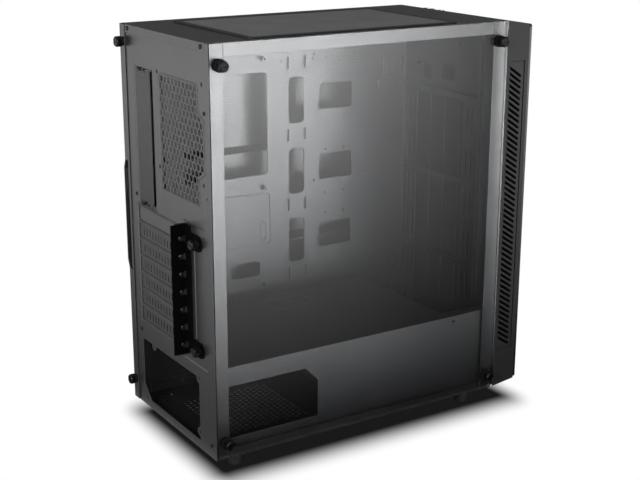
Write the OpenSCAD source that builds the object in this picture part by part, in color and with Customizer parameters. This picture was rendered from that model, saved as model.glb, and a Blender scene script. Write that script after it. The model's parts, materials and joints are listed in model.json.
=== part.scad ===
// Mid-tower computer case: a folded steel chassis with a glass side, a steel side,
// a moulded front, a power-supply bay under a shroud and seven expansion slots.
// Front faces -Y, rear +Y, the glass side -X. The origin is on the standing surface,
// under the middle of the outer size.

/* [Body] */
// Width over the glass and the right-hand panel
body_w = 212; // [204:1:226]
// Depth from the rear sheet to the front frame
body_d = 390; // [382:1:420]
// Height from the floor sheet to the roof
body_h = 455; // [448:1:480]
// Thickness of the folded steel sheet
sheet = 1; // [0.8:0.1:1.3]
// Height of the floor sheet above the standing surface
foot_h = 22; // [18:1:30]
// Diameter of a foot
foot_d = 21; // [18:1:30]
// Gap between pieces that rest on each other but come apart
seat = 0.3; // [0.2:0.05:0.5]

/* [Glass side] */
// Thickness of the tempered glass
glass_t = 4; // [3:0.5:5]
// Width of the upright borders behind the glass
border_w = 18; // [15:1:22]
// Height of the roof's border behind the glass
roof_border = 15; // [12:1:18]
// Height of the floor's border behind the glass
floor_border = 9; // [6:1:12]
// Distance of the glass screws from the upright edges
screw_in = 12; // [11:0.5:14]
// Height of the lower glass screws above the floor
screw_low = 18; // [14:1:24]
// Depth of the upper glass screws below the roof
screw_top = 23; // [18:1:30]
// Thickness of a grommet's lip
lip_t = 1; // [0.6:0.1:1.5]
// Diameter of the glass holes, filled by the grommets
glass_hole_d = 10; // [8.5:0.5:12]

/* [Thumbscrews] */
// Diameter of a knurled head
thumb_d = 12; // [10:0.5:13]
// Length of a knurled head
thumb_l = 9; // [7:0.5:11]
// Diameter of the threaded shank
shank_d = 3.5; // [3:0.1:4]

/* [Rear] */
// Pitch of the expansion slots
slot_pitch = 20.32; // [20.32]
// Number of expansion slots
slot_n = 7; // [5:1:7]
// Clear height of one slot
slot_h = 16.4; // [14:0.2:17]
// Length of a slot cover from its ear to its tongue
cover_l = 119; // [116:1:121]
// Width of the input-output aperture
io_w = 44.45; // [44.45]
// Height of the input-output aperture
io_h = 158.75; // [158.75]
// Hole spacing of the rear, front and roof fans
fan_pitch = 105; // [105]
// Reach of the slot guard behind the rear sheet
guard_reach = 19; // [17:1:24]
// Height of the roof's lip over the rear sheet
roof_lip = 9; // [6:0.5:12]
// Height of a bead pressed out of the rear sheet
bead_h = 0.6; // [0.4:0.05:0.8]
// Width of a bead pressed out of the rear sheet
bead_w = 2.4; // [1.8:0.1:2.8]
// Width of a hexagonal hole in the rear fan grille, across its corners
hex_d = 8; // [6:0.5:9]
// Web between the hexagonal holes
hex_web = 1.7; // [1.2:0.1:3]

/* [Inside] */
// Height of the shroud's top above the floor
shroud_h = 103; // [100:1:112]
// Distance of the tray behind the right-hand face of the body
tray_in = 30; // [26:1:34]
// Width of the three upright cable passes
pass_w = 22; // [16:1:26]
// Height of the three upright cable passes
pass_h = 57; // [40:1:66]
// Pitch of the cable passes and of the square cut-outs
pass_pitch = 88.5; // [84:0.5:92]
// Depth of the shroud from the rear sheet to its front edge
shroud_d = 322; // [300:1:330]
// Length of the power-supply window in the shroud's side
window_l = 116; // [90:1:130]
// Height of the power-supply window
window_h = 61; // [45:1:70]
// Height of a board standoff
standoff_h = 6.35; // [6:0.05:8]

/* [Front] */
// Depth of the front panel
front_d = 36; // [32:1:44]
// Wall of the moulded front shell
shell_t = 2.5; // [2:0.1:3]
// Drop of the front panel's top towards its face
top_drop = 5; // [2:1:8]
// Rise of the front panel's underside towards its face
low_rise = 4; // [0:1:8]
// Width of the front fan openings
fan_open = 94; // [84:1:96]
// Number of slanted vent slots on each side
vent_n = 50; // [30:1:50]
// Pitch of the slanted vent slots
vent_pitch = 6.85; // [6.2:0.05:6.9]
// Width of one vent slot
vent_w = 3.2; // [1.8:0.1:3.4]
// Length of one vent slot, over its round ends
vent_l = 24; // [18:0.5:25]
// Slope of the vent slots
vent_tilt = 33; // [25:1:38]
// Diameter of the power button
power_d = 14; // [11:0.5:16]
// Diameter of the reset button
reset_d = 8; // [6:0.5:9]
// Travel of the buttons
press = 1.5; // [1:0.1:2]

/* [Roof and right-hand side] */
// Width of the roof's dust filter
filter_w = 178; // [160:1:184]
// Length of the roof's dust filter
filter_l = 270; // [250:1:290]
// Thickness of the dust filter's magnetic rim
rim_t = 1.2; // [0.8:0.1:2]
// Height of the raised field above the right-hand panel
bulge_h = 4; // [2:0.5:6]
// Length of the raised field, upwards
bulge_l = 132; // [100:1:140]
// Travel that unhooks the right-hand panel
unhook = 18; // [14:1:20]

/* [Hidden] */
$fn = 48;
eps = 0.01;

// outer reach of what stands proud of the body, and the body's place in the frame
left_out = lip_t + seat + thumb_l;
rear_out = max(guard_reach, 3 * seat + sheet + thumb_l);
mid_x = (left_out - bulge_h) / 2;
x_l = mid_x - body_w / 2;
x_r = mid_x + body_w / 2;
y_r = (body_d + seat + front_d - rear_out) / 2;
y_f = y_r - body_d;
z_f = foot_h;
z_t = foot_h + body_h;

// planes of the folded sheets
x_border = x_l + glass_t + lip_t + seat;
x_right = x_r - sheet - 2 * seat - sheet;
x_tray = x_r - tray_in;
z_shroud = z_f + shroud_h;
y_in = y_r - sheet;
z_in = z_f + sheet;
z_roof = z_t - sheet;
y_front_in = y_f + sheet;

// expansion slots, aperture and board, stacked from the shroud upwards; the edge of the
// aperture lies io_edge behind the upper face of a board of thickness board_t
board_t = 1.6;
io_edge = 3.81;
slot_z0 = z_shroud + 5;
slot_x1 = x_tray;
slot_x0 = slot_x1 - cover_l;
slot_fit = min(slot_n, floor((body_h - shroud_h - io_h - 21.2) / slot_pitch));
slot_mid = [for (i = [0 : slot_fit - 1]) slot_z0 + 2 + slot_h / 2 + i * slot_pitch];
io_z0 = slot_z0 + slot_fit * slot_pitch + 2.2;
io_x1 = x_tray - standoff_h - board_t + io_edge;
board_z0 = io_z0 - 7 * slot_pitch - 2.7;
board_rows = [for (r = [16.5, 140.97, 298.45]) if (board_z0 + r > slot_z0 + 14) board_z0 + r];
board_cols = [y_r - 10.2, y_r - 165.1, y_r - 237.5];
tray_z0 = slot_z0 + 11;
tray_y0 = y_f + 15;

// rear fan field and its mounting corners
fan_x = mid_x - 38;
fan_z = io_z0 + 107;
grille_x0 = fan_x - 43;
grille_x1 = fan_x + 49;
grille_z0 = fan_z - 78;
grille_z1 = fan_z + 52;
grille_ear = 13;

// power-supply bay: a 150 by 86 mm unit on pads, its screws psu_edge inside its outline
psu_w = 150;
psu_h = 86;
psu_edge = 6;
psu_x = mid_x + 2.5;
pad_h = 3;
psu_z = z_in + pad_h;
psu_left = psu_x + psu_w / 2 - psu_edge;
psu_right = psu_x - psu_w / 2 + psu_edge;
psu_low = psu_z + psu_edge;
psu_high = psu_z + psu_h - psu_edge;
psu_lug = 5.5;
seat_depth = 0.4;
vent_x = mid_x;
vent_y = y_r - 92;

// feet, and the filter rails that fit between the rear pair
foot_x = [x_l + 24, x_r - 24];
foot_y = [y_r - 36, y_f + 30];
rail_x = body_w / 2 - 24 - foot_d / 2 - 6;
filter_half = rail_x - 2;

// slot guard and ears
x_ear = slot_x0;
ear_reach = 12;
guard_x = x_ear - 3.4;
guard_foot = 11;
guard_ear = 18;
guard_z0 = slot_z0;
guard_z1 = slot_z0 + slot_fit * slot_pitch + 6;
guard_screw_x = guard_x - 28;
guard_bead_x = guard_x - 18;
guard_screw_z = [guard_z0 + 11, guard_z1 - 16];

// glass screws
glass_y = [y_r - screw_in - sheet, y_f + screw_in];
glass_z = [z_f + screw_low, z_t - screw_top];
thumb_x = x_l - lip_t - seat;
nut_d = 8;
nut_l = 6;
bore_gap = 0.06;

// right-hand panel
panel_screw_z = [z_f + 26, z_t - 20];
panel_screw_x = x_r - 6;
bulge_z = [(z_f + z_t - bulge_l) / 2 + 4, (z_f + z_t + bulge_l) / 2 + 4];
hook_w = 8;
hook_reach = 3 * seat + 2 * sheet + 2;
hook_y = [y_r - 70, y_r - 200, y_r - 330];
hook_z = [z_f + 8, z_t - 8];

// front panel, vents and controls
y_shell = y_f - seat;
y_face = y_shell - front_d;
face_t = 3.5;
vent_y0 = y_shell - 12.5;
vent_z0 = z_t - 60;
strip_d = 26;
strip_z0 = z_f + 48;
strip_z1 = z_t - 48;
vent_fit = min(vent_n, floor((vent_z0 - strip_z0 - 11) / vent_pitch) + 1);
groove = 1.5;
strip_t = 2;
fan_front_x = mid_x + 18;
front_return_x = mid_x - 65;
band_z = z_t - 84;
front_fan_n = min(3, floor((body_h - 139) / fan_pitch));
front_fan_z = [for (i = [0 : front_fan_n - 1]) z_f + 91 + i * fan_pitch];
control_y = y_shell - 15;
power_x = mid_x + 64;
reset_x = mid_x + 39;
audio_x = [mid_x + 18, mid_x - 1];
usb_x = [mid_x - 27, mid_x - 52, mid_x - 77];
usb_w = 13.8;
usb_h = 6.4;
light_x = mid_x + 51.5;
board_drop = 15.8;
button_l = 8.5;
top_slope = atan(top_drop / front_d);
clip_x = [x_l + 22, x_r - 22];
clip_z = [z_f + 30, front_fan_z[0] + 1.5 * fan_pitch, z_t - 30];
clip_l = front_d - face_t - shell_t - eps;
clip_d = 5.6;
filter_pitch = 29;

// roof opening and filter
filter_x = mid_x - 9;
filter_y = y_r - 187;
rim_w = 7;
roof_fan_y = [filter_y + 62, filter_y - 62];

// ---------------------------------------------------------------- helpers

// box between two corners
module block(a, b) translate(a) cube(b - a);

// sheet in the XZ plane: its rear face at y, drawn in X and Z
module upright(y, t = sheet) translate([0, y, 0]) rotate([90, 0, 0]) linear_extrude(t) children();

// sheet in the YZ plane: its left face at x, drawn in Y and Z
module side(x, t = sheet) translate([x, 0, 0]) rotate([90, 0, 90]) linear_extrude(t) children();

// level sheet: its lower face at z, drawn in X and Y
module level(z, t = sheet) translate([0, 0, z]) linear_extrude(t) children();

// rectangle between two corners
module rect(a, b) translate(a) square(b - a);

// rectangle with round corners, about its centre
module round_rect(w, h, r) {
    square([w - 2 * r, h], center = true);
    square([w, h - 2 * r], center = true);
    for (x = [-1, 1], y = [-1, 1]) translate([x * (w / 2 - r), y * (h / 2 - r)]) circle(r);
}

// slot with round ends, along the first axis
module oblong(l, w) {
    square([l - w, w], center = true);
    for (s = [-1, 1]) translate([s * (l - w) / 2, 0]) circle(w / 2);
}

// staggered hexagons that fill a field of w by h
module hex_field(w, h, d, web) {
    px = d * 0.866 + web;
    py = px * 0.866;
    nx = floor((w / 2 - d / 2) / px);
    ny = floor((h / 2 - d / 2) / py);
    for (j = [-ny : ny], i = [-nx : nx - abs(j) % 2])
        translate([(i + (abs(j) % 2) / 2) * px, j * py]) rotate(30) circle(d = d, $fn = 6);
}

// corner points of a square of holes
function corners(c, p) = [for (x = [-1, 1], y = [-1, 1]) [c[0] + x * p / 2, c[1] + y * p / 2]];

// knurled thumbscrew: the head rises along +Z from its seat, the shank goes down
module thumbscrew(shank_l) {
    difference() {
        union() {
            cylinder(d = thumb_d, h = thumb_l - 1);
            translate([0, 0, thumb_l - 1]) cylinder(d1 = thumb_d, d2 = thumb_d - 2, h = 1);
        }
        for (i = [0 : 17]) rotate(i * 20) translate([thumb_d / 2 + 0.2, 0, 1.5])
            cylinder(d = 1.2, h = thumb_l);
        translate([-0.6, -thumb_d / 2, thumb_l - 1.2]) cube([1.2, thumb_d, 2]);
    }
    translate([0, 0, -shank_l]) cylinder(d = shank_d, h = shank_l + eps);
}

// round screw head on a plate, with its cross recess left plain
module pan_head(d = 6, h = 2) {
    cylinder(d = d, h = h * 0.5);
    translate([0, 0, h * 0.5]) cylinder(d1 = d, d2 = d * 0.6, h = h * 0.5);
}

// ---------------------------------------------------------------- chassis

module floor_pan() color("dimgray") {
    difference() {
        level(z_f) difference() {
            rect([x_border, y_front_in], [x_right + sheet, y_in]);
            translate([vent_x, vent_y]) for (i = [-7 : 7], j = [-8 : 8])
                translate([i * 7.2 + (abs(j) % 2) * 3.6 - 1.8, j * 6.8]) circle(d = 4.6, $fn = 24);
            for (x = foot_x, y = foot_y) translate([x, y]) circle(d = 4.2);
        }
    }
    side(x_border) rect([y_f + border_w + seat, z_f], [y_in - border_w - seat, z_f + floor_border]);
    difference() {
        side(x_right) rect([y_f + border_w + seat, z_f], [y_in - border_w - seat, z_f + 14]);
        for (y = hook_y) hook_slot(y, hook_z[0]);
    }
}

// slot in a border that lets a hook of the right-hand panel in and out
module hook_slot(y, z)
    block([x_right - 1, y - 1, z - 2.2], [x_right + sheet + 1, y + hook_w + unhook + 1, z + 2.2]);

// half-round bead on the rear sheet, between two points given in X and Z
module bead(a, b, w = bead_w) {
    d = b - a;
    r = (w * w / 4 + bead_h * bead_h) / (2 * bead_h);
    translate([a[0], y_r - eps, a[1]]) rotate([0, 90 - atan2(d[1], d[0]), 0])
        linear_extrude(norm(d)) intersection() {
            translate([0, bead_h - r]) circle(r);
            translate([-w, 0]) square([2 * w, w]);
        }
}

// screw holes of a power supply with its fan up, in X and Z
psu_holes = [[psu_right, psu_low + 10], [psu_right, psu_high], [psu_left, psu_low],
    [psu_left - 24, psu_high]];

// opening of the power supply: a diagonal corner, and a lug round each of the other screws
module psu_opening() {
    x0 = psu_right - 1;
    x1 = psu_left + 6;
    difference() {
        polygon([[x0, psu_low], [x1 - 17, psu_low], [x1, psu_low + 16], [x1, psu_high + 1],
            [x0, psu_high + 1]]);
        for (p = psu_holes) translate(p) circle(psu_lug);
        for (i = [0, 1]) rect([x0 - 1, psu_holes[i][1] - psu_lug], psu_holes[i] + [0, psu_lug]);
    }
}

module rear_panel() color("dimgray") {
    difference() {
        upright(y_r) difference() {
            rect([x_l + 0.5, z_f], [x_right + sheet, z_roof]);
            // input-output aperture
            rect([io_x1 - io_w, io_z0], [io_x1, io_z0 + io_h]);
            // expansion slots, long enough to let the ears of the covers out
            for (z = slot_mid) rect([slot_x0 - 1.5, z - slot_h / 2], [slot_x1, z + slot_h / 2]);
            psu_opening();
            for (p = psu_holes) translate(p) circle(d = 3.8);
            // field of the fan grille
            grille_outline(0);
            // fan holes, and a few more points for fasteners
            for (p = corners([fan_x, fan_z], fan_pitch)) translate(p) circle(d = 4.4);
            for (p = [[x_tray + 5, z_t - 16], [x_border + 4, fan_z - 66]]) translate(p) circle(d = 2.8);
            // holes for the thumbscrews
            for (z = panel_screw_z) translate([panel_screw_x - 1, z]) circle(d = shank_d + 2 * bore_gap);
            for (z = guard_screw_z) translate([guard_screw_x, z]) circle(d = shank_d + 2 * bore_gap);
            // finger gap beside the raised field of the right-hand panel
            finger_gap(3.5);
        }
        // shallow seat round the aperture
        block([io_x1 - io_w - 2.5, y_r - seat_depth, io_z0 - 2.5],
            [x_tray, y_r + 1, io_z0 + io_h + 2.5]);
    }
    // border behind the glass
    difference() {
        side(x_border) rect([y_r - border_w, z_in], [y_in + eps, z_roof]);
        for (z = glass_z) translate([x_border - 1, glass_y[0], z]) rotate([0, 90, 0])
            cylinder(d = nut_d, h = sheet + 2);
    }
    // border behind the right-hand panel, in two lengths past the finger gap
    for (z = [[z_in, bulge_z[0]], [bulge_z[1], z_roof]])
        side(x_right) rect([y_r - border_w, z[0]], [y_in + eps, z[1]]);
    // ledge that the ears are screwed to
    difference() {
        side(x_ear) rect([y_in, slot_z0 - 3], [y_r + ear_reach + 1, guard_z1]);
        for (z = slot_mid) translate([x_ear - 1, y_r + 7, z]) rotate([0, 90, 0])
            cylinder(d = 3, h = sheet + 2);
    }
    // frame pressed round the slots, and a bead on each web between them
    for (i = [0 : slot_fit]) bead([x_ear + eps, web_z(i)], [slot_x1 + 2, web_z(i)]);
    bead([slot_x1 + 2, web_z(0) - bead_w / 2], [slot_x1 + 2, web_z(slot_fit) + bead_w / 2]);
    // stiffening beads: below the slot guard, beside it and under the fan's field
    bead([guard_x - 44, guard_z0 - 10], [guard_x + 12, guard_z0 - 10], 2 * bead_w);
    bead([guard_bead_x, guard_screw_z[0] + guard_ear / 2 + 2],
        [guard_bead_x, guard_screw_z[1] - guard_ear / 2 - 2]);
    bead([guard_x - 44, guard_z1 + 3], [guard_x + 6, guard_z1 + 3]);
    // upright bead below each hole of the fan
    for (p = corners([fan_x, fan_z], fan_pitch)) bead([p[0], p[1] - 34], [p[0], p[1] - 4]);
}

// height of the web below slot i
function web_z(i) = slot_mid[0] + (i - 0.5) * slot_pitch;

// notch in the rear, d deep from the edge of the rear sheet, beside the raised field
module finger_gap(d) rect([x_right + sheet - d, bulge_z[0]], [x_r + 1, bulge_z[1]]);

// outline of the grille field, wider beside the fan's hub, grown by g
module grille_outline(g) {
    w = grille_x1 - grille_x0;
    h = grille_z1 - grille_z0;
    translate([(grille_x0 + grille_x1) / 2, (grille_z0 + grille_z1) / 2])
        round_rect(w + 2 * g, h + 2 * g, 6 + g);
    polygon([[grille_x0 + 1 - g, grille_z1 - 28 + g], [grille_x0 - grille_ear - g, grille_z1 - 36 + g],
        [grille_x0 - grille_ear - g, grille_z0 + 37 - g], [grille_x0 + 1 - g, grille_z0 + 29 - g]]);
}

module rear_fan_grille() color("dimgray") {
    upright(y_r) difference() {
        grille_outline(0);
        intersection() {
            translate([fan_x - 2, (grille_z0 + grille_z1) / 2]) hex_field(124, 150, hex_d, hex_web);
            grille_outline(-2.5);
        }
    }
    // bead pressed round the field
    upright(y_r + 0.6, 0.6 + eps) difference() {
        grille_outline(-0.2);
        grille_outline(-1.8);
    }
}

module roof() color("dimgray") {
    level(z_roof) difference() {
        rect([x_border, y_f], [x_right + sheet, y_r + eps]);
        for (y = roof_fan_y) {
            translate([filter_x, y]) round_rect(fan_pitch + 9, fan_pitch + 9, 30);
            for (p = corners([filter_x, y], fan_pitch)) translate(p) circle(d = 4.4);
        }
        for (s = [-1, 1]) translate([filter_x + s * 71, filter_y]) rotate(90) oblong(210, 4.4);
    }
    // borders on both sides
    side(x_border) rect([y_f + border_w + seat, z_t - roof_border], [y_in - border_w - seat, z_roof + eps]);
    difference() {
        side(x_right) rect([y_f + border_w + seat, z_t - 14], [y_in - border_w - seat, z_roof + eps]);
        for (y = hook_y) hook_slot(y, hook_z[1]);
    }
    // lip folded over the rear sheet
    upright(y_r + sheet) rect([x_l + 0.5, z_t - roof_lip], [panel_screw_x - 8, z_t]);
}

module front_frame() color("dimgray") {
    upright(y_front_in) difference() {
        rect([x_border, z_f], [x_right + sheet, z_roof]);
        for (z = front_fan_z) {
            translate([fan_front_x, z]) round_rect(fan_open, fan_open + 5, 3);
            // slots for fans of two sizes beside each opening
            for (s = [-1, 1], p = [53.5, 63.5], u = [-1, 1])
                translate([fan_front_x + s * p, z + u * 26]) rotate(90) oblong(36, 4.2);
        }
        // openings of the upper band
        rect([mid_x - 10, band_z], [mid_x + 16, band_z + 20]);
        rect([mid_x + 37, band_z - 4], [mid_x + 56, band_z + 15]);
        // holes for the clips of the front panel
        for (x = clip_x, z = clip_z) translate([x, z]) circle(d = 6.4);
    }
    // lip under the upper band
    block([front_return_x, y_front_in - eps, band_z - 13], [mid_x + 92, y_front_in + 6, band_z - 13 + sheet]);
    // borders behind the glass and the right-hand panel
    difference() {
        side(x_border) rect([y_front_in - eps, z_in], [y_f + border_w, z_roof]);
        for (z = glass_z) translate([x_border - 1, glass_y[1], z]) rotate([0, 90, 0])
            cylinder(d = nut_d, h = sheet + 2);
    }
    side(x_right) rect([y_front_in - eps, z_in], [y_f + border_w, z_roof]);
    // stiffening returns of the slotted column and the far column
    side(front_return_x) rect([y_front_in - eps, z_shroud + 1], [y_front_in + 6, z_roof]);
    side(mid_x + 92) rect([y_front_in - eps, z_shroud + 1], [y_front_in + 12, z_roof]);
}

module motherboard_tray() color("dimgray") {
    side(x_tray) difference() {
        rect([tray_y0, tray_z0], [y_in, z_roof]);
        // opening behind the processor
        translate([y_r - 116, board_z0 + 219.5]) round_rect(112, 125, 5);
        // slit beside the aperture
        rect([y_r - 36, io_z0 - 8], [y_r - 20, io_z0 + io_h - 10]);
        for (i = [0 : 2]) {
            z = tray_z0 + 56 + i * pass_pitch;
            translate([y_r - 213, z]) rotate(90) oblong_pass();
            translate([y_r - 270.5, z + 1]) round_rect(49, 32, 3);
        }
        // pairs of cable-tie slots
        for (i = [0 : 3], y = [201, 225])
            translate([y_r - y, tray_z0 + 13.5 + i * pass_pitch]) rotate(90) oblong(15, 3);
        // low cable pass
        translate([y_r - 139, tray_z0 + 27]) round_rect(40, 19, 5);
        // tapped holes: board, drive and cable points
        for (y = board_cols, z = board_rows) translate([y, z]) circle(d = 3.2);
        for (y = [254, 282], z = [286, 231, 204]) translate([y_r - y, z_f + z]) circle(d = 3.4);
        for (z = [130, 143, 205, 233, 286, 291]) translate([y_r - 354, z_f + z]) circle(d = 3.4);
        for (y = [191, 236, 256, 316]) translate([y_r - y, z_t - 54]) circle(d = 2.6);
        for (z = [206, 250]) translate([y_r - 316, z_f + z]) circle(d = 3);
        // row of upright slits near the top front corner
        for (i = [0 : 5]) translate([y_r - 347 - i * 5, z_t - 73]) rotate(90) oblong(20, 2.4);
        // pair of holes in the small pad
        for (z = [-9, 9]) translate([y_r - 165, board_z0 + 86 + z]) circle(d = 2.2);
    }
    // folds that fasten the tray to the roof, the rear sheet and the front
    block([x_tray, tray_y0 + 20, z_roof - sheet], [x_tray + 10, y_in - 40, z_roof]);
    block([x_tray, y_in - sheet, tray_z0], [x_tray + 10, y_in, z_roof - sheet]);
    block([x_tray, tray_y0, tray_z0], [x_tray + 8, tray_y0 + sheet, z_roof - sheet]);
    for (z = [tray_z0 + 31, z_t - 25])
        block([x_tray, y_front_in, z - 8], [x_tray + sheet, tray_y0 + eps, z + 8]);
    // raised pad of the drive position
    translate([x_tray - 0.8, y_r - 143, board_z0 + 101]) rotate([90, 0, 90]) linear_extrude(0.8 + eps)
        difference() {
            round_rect(66, 68, 5);
            round_rect(62, 64, 4);
        }
    // small upright pad beside it
    tray_ring(y_r - 165, board_z0 + 86) rotate(90) {
        difference() {
            oblong(27, 8);
            oblong(24.6, 5.6);
        }
    }
    // frame pressed round the row of slits, and the clip below it
    tray_ring(y_r - 359.5, z_t - 73) difference() {
        round_rect(36, 25, 2);
        round_rect(34, 23, 1);
    }
    block([x_tray - 2.5, y_r - 347, z_t - 97], [x_tray + eps, y_r - 335, z_t - 89]);
}

// raised outline on the face of the tray, about a point given in Y and Z
module tray_ring(y, z)
    translate([x_tray - 0.6, y, z]) rotate([90, 0, 90]) linear_extrude(0.6 + eps) children();

// upright cable pass with round corners
module oblong_pass() round_rect(pass_h, pass_w, 6);

module psu_shroud() color("dimgray") {
    y_end = y_front_in + seat;
    level(z_shroud - sheet) difference() {
        rect([x_border + 3, y_end], [x_tray + 14, y_in]);
        // notch that leaves room behind the front fans
        rect([x_border + 30, y_end - 1], [x_tray + 15, y_r - shroud_d]);
        rect([x_border + 18, y_end - 1], [x_border + 31, y_r - shroud_d - 12]);
        translate([x_border + 30, y_r - shroud_d - 12]) circle(12);
    }
    side(x_border + 3) difference() {
        rect([y_end, z_in], [y_in, z_shroud]);
        // window that shows the power supply
        polygon([[y_r - 19 - window_l, z_f + 20], [y_r - 19, z_f + 20], [y_r - 19, z_f + 20 + window_h],
            [y_r - 2 - window_l, z_f + 20 + window_h], [y_r - 19 - window_l, z_f + 3 + window_h]]);
        translate([y_r - 329, z_f + 96]) circle(d = 4);
        // clearance round the lower nuts of the glass screws
        for (y = glass_y) translate([y, glass_z[0]]) circle(d = nut_d + 3);
    }
    // folds: to the floor, and down behind the tray
    block([x_border + 3, y_end + 40, z_in], [x_border + 15, y_in - 40, z_in + sheet]);
    block([x_tray + 13, y_r - shroud_d, z_shroud - 12], [x_tray + 14, y_in - 1, z_shroud - eps]);
}

module shroud_cover() color("gray")
    level(z_shroud) difference() {
        polygon([[x_tray - 13, y_r - 158], [x_tray - 13, y_r - 209], [x_tray - 42, y_r - 209],
            [x_tray - 42, y_r - 164], [x_tray - 36, y_r - 158]]);
        translate([x_tray - 26, y_r - 165]) circle(d = 3.4);
    }

// one slot cover: plate inside the rear sheet, tongue, and ear screwed to the ledge
module slot_cover(z, slits) {
    y = y_in - seat / 3;
    difference() {
        union() {
            block([x_ear - 1.06, y - 0.9, z - 9.2], [slot_x1 - 1, y, z + 9.2]);
            block([slot_x1 - 1 - eps, y - 0.9, z - 5], [slot_x1 + 6 - tray_in / 5, y, z + 5]);
        }
        if (slits) for (i = [0 : 13])
            translate([slot_x1 - 11 - i * 7.6, y + 1, z]) rotate([90, 0, 0])
                linear_extrude(3) rotate(90) oblong(9, 2.6);
    }
    difference() {
        block([x_ear - 1.06, y - 0.9, z - 6], [x_ear - 0.06, y_r + ear_reach, z + 6]);
        translate([x_ear - 2, y_r + 7, z]) rotate([0, 90, 0]) cylinder(d = 4, h = 4);
        block([x_ear - 2, y_r + 7, z - 2], [x_ear + 1, y_r + ear_reach + 1, z + 2]);
    }
}

module slot_cover_plain() color("darkslategray") slot_cover(slot_mid[slot_fit - 1], false);

module slot_covers() color("silver")
    for (i = [0 : slot_fit - 2]) slot_cover(slot_mid[i], true);

module slot_screws() color("silver")
    for (z = slot_mid) translate([x_ear - 1.06, y_r + 7, z]) rotate([0, -90, 0]) {
        pan_head(6, 2);
        translate([0, 0, -4]) cylinder(d = 2.8, h = 4 + eps);
    }

module board_standoffs() color("goldenrod")
    for (y = [board_cols[0], board_cols[1]], z = board_rows)
        translate([x_tray, y, z]) rotate([0, -90, 0]) difference() {
            cylinder(d = 5.8, h = standoff_h, $fn = 6);
            translate([0, 0, 1]) cylinder(d = 2.6, h = standoff_h);
        }

module glass_nuts() color("silver")
    for (y = glass_y, z = glass_z) translate([x_border, y, z]) rotate([0, 90, 0]) difference() {
        cylinder(d = nut_d, h = nut_l);
        translate([0, 0, -1]) cylinder(d = shank_d + 2 * bore_gap, h = nut_l + 2);
    }

module chassis_screws() color("silver") {
    // through the roof's lip
    for (x = [x_border + 9, panel_screw_x - 14]) translate([x, y_r + sheet, z_t - roof_lip / 2])
        rotate([-90, 0, 0]) pan_head(5, 1.6);
    // on the rear sheet
    for (p = [[x_border + 6, z_f + 14], [x_tray + 3, io_z0 + 10], [x_tray + 4, web_z(0) - 12],
            [x_border + 6, z_t - 72]])
        translate([p[0], y_r, p[1]]) rotate([-90, 0, 0]) pan_head(4.4, 1.2);
    // on the upper band of the front frame
    for (p = [[mid_x + 62, band_z + 16], [mid_x - 20.5, band_z + 49]])
        translate([p[0], y_front_in, p[1]]) rotate([-90, 0, 0]) pan_head(6, 2);
}

module drive_cage() color("dimgray") {
    cage_y = [y_r - shroud_d + 4, y_r - shroud_d + 112];
    for (y = cage_y) difference() {
        upright(y + sheet) rect([psu_x - 60, z_in], [x_tray + 10, z_shroud - sheet]);
        for (z = [z_in + 20, z_in + 50, z_in + 80]) translate([0, y + 1 + sheet, z]) rotate([90, 0, 0])
            linear_extrude(3) for (x = [-30, 40]) translate([x, 0]) oblong(34, 10);
    }
    for (z = [6, 38], s = [0, 1]) {
        y = cage_y[s] + (s == 0 ? sheet : -6);
        block([psu_x - 56, y, z_in + z], [x_tray + 6, y + 6, z_in + z + 1]);
    }
    block([psu_x - 60, cage_y[0] + sheet, z_in], [psu_x - 59, cage_y[1], z_in + 70]);
}

module drive_trays() color("darkslategray")
    for (z = [z_in + 7.2, z_in + 39.2]) {
        y0 = y_r - shroud_d + 4 + sheet + 1;
        y1 = y_r - shroud_d + 111;
        difference() {
            block([psu_x - 54, y0, z], [x_tray + 12, y1, z + 24]);
            block([psu_x - 48, y0 + 3.5, z + 3], [x_tray + 6, y1 - 3.5, z + 25]);
            block([psu_x - 36, y0 + 18, z - 1], [x_tray - 8, y1 - 18, z + 4]);
        }
    }

module feet() color("black")
    for (x = foot_x, y = foot_y) translate([x, y, 0]) difference() {
        translate([0, 0, 2.5]) cylinder(d1 = foot_d - 4, d2 = foot_d, h = foot_h - 2.5);
        translate([0, 0, 2.5 - eps]) cylinder(d = foot_d - 10, h = 1.5);
    }

module foot_pads() color("dimgray")
    for (x = foot_x, y = foot_y) translate([x, y, 0])
        cylinder(d = foot_d - 10, h = 4 - eps);

module psu_pads() color("black")
    for (x = [psu_x - 66, psu_x + 66], y = [y_r - 14, y_r - 162])
        translate([x, y, z_in]) linear_extrude(pad_h) round_rect(10, 16, 2);

module psu_filter_rails() color("black")
    for (s = [-1, 1]) translate([vent_x + s * rail_x, vent_y, 0]) difference() {
        block([-4, -72, z_f - 7], [4, 72, z_f]);
        block([s > 0 ? -5 : -1, -80, z_f - 5.2], [s > 0 ? 1 : 5, 80, z_f - 1.8]);
    }

// ---------------------------------------------------------------- glass side

module side_glass() color([0.25, 0.27, 0.3, 0.35])
    side(x_l, glass_t) difference() {
        rect([y_f + 0.5, z_f + 0.5], [y_r - 1.5, z_t - 0.5]);
        for (y = glass_y, z = glass_z) translate([y, z]) circle(d = glass_hole_d);
    }

module glass_grommets() color("black")
    for (y = glass_y, z = glass_z) translate([x_l - lip_t, y, z]) rotate([0, 90, 0]) difference() {
        union() {
            cylinder(d = glass_hole_d, h = glass_t + 2 * lip_t);
            cylinder(d = thumb_d + 2, h = lip_t);
            translate([0, 0, glass_t + lip_t]) cylinder(d = thumb_d + 2, h = lip_t);
        }
        translate([0, 0, -1]) cylinder(d = shank_d + 1, h = glass_t + 4);
    }

module glass_screw(y, z) color("black")
    translate([thumb_x, y, z]) rotate([0, -90, 0]) thumbscrew(glass_t + 2 * lip_t + 2 * seat + nut_l);

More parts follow.
